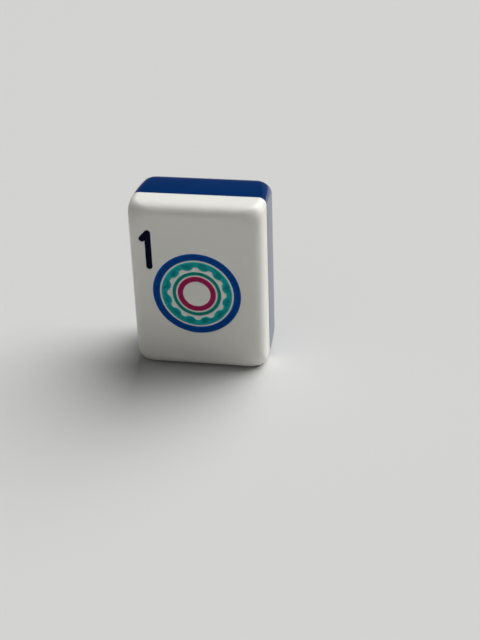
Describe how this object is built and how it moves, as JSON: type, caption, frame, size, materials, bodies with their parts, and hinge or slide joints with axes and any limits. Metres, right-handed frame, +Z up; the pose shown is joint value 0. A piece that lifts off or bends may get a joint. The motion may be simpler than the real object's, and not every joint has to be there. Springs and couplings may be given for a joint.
{
  "type": "mahjong tile",
  "caption": "Rounded rectangular game tile of a pale layer bonded to a blue one, its face engraved and painted with a ringed circle and a small numeral.",
  "frame": {"origin": "middle of the lower short edge that the tile stands on, centred in width and thickness", "axes": "+Z up along the height of the tile, -Y out of the engraved face, +Y out of the blue back, +X to the right of someone who looks at the face"},
  "size_m": [0.0224, 0.0132, 0.03],
  "materials": {
    "face_resin": "polished off-white resin, slightly translucent",
    "back_resin": "polished deep blue resin",
    "bond": "cured clear adhesive in a thin film",
    "blue_paint": "blue enamel paint settled in a groove",
    "teal_paint": "teal enamel paint settled in a groove, mottled",
    "green_paint": "green enamel paint settled in a groove",
    "crimson_paint": "crimson enamel paint settled in a groove",
    "navy_paint": "dark navy enamel paint settled in a groove"
  },
  "bodies": {
    "root": {"face_layer": "face_resin", "bond_film": "bond", "back_layer": "back_resin", "outer_ring_fill": "blue_paint", "scallop_band_fill": "teal_paint", "inner_ring_fill": "green_paint", "centre_ring_fill": "crimson_paint", "numeral_fill": "navy_paint"}
  },
  "joints": []
}
